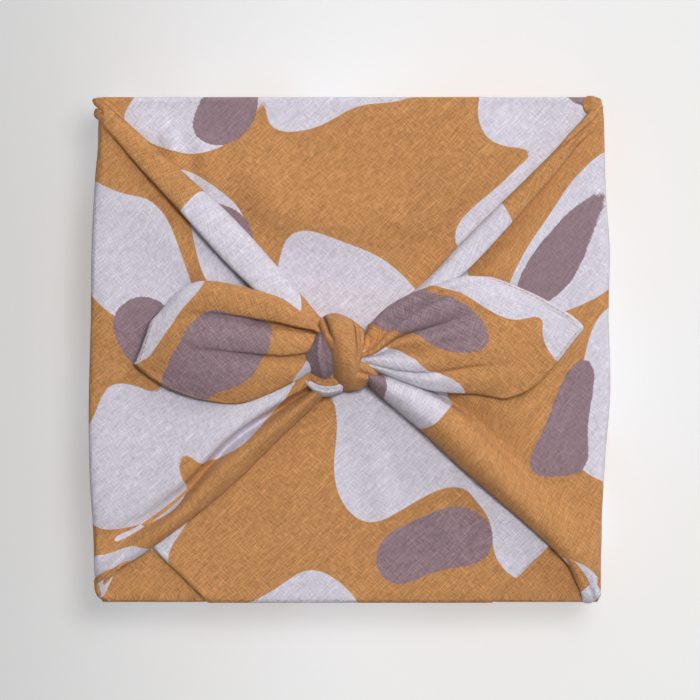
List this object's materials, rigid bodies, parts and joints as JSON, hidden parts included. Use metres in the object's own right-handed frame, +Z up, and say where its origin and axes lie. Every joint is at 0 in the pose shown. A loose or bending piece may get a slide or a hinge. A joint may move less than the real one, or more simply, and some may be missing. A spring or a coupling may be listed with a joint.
{
  "type": "furoshiki cloth wrap and gift box",
  "caption": "Flat square box wrapped in a square cloth that is knotted on top, with its tails spread as leaf-shaped ears.",
  "frame": {"origin": "middle of the wrap's underside, on the surface that it rests on", "axes": "+Z up out of the knot, +X and -X along the ears, -Y towards the side that the back corner hangs down"},
  "size_m": [0.26, 0.2514, 0.092],
  "materials": {
    "printed_cloth": "matt, slubby plain weave",
    "plain_card": "plain uncoated card"
  },
  "bodies": {
    "root": {"furoshiki_cloth": "printed_cloth", "gift_box": "plain_card"}
  },
  "joints": []
}
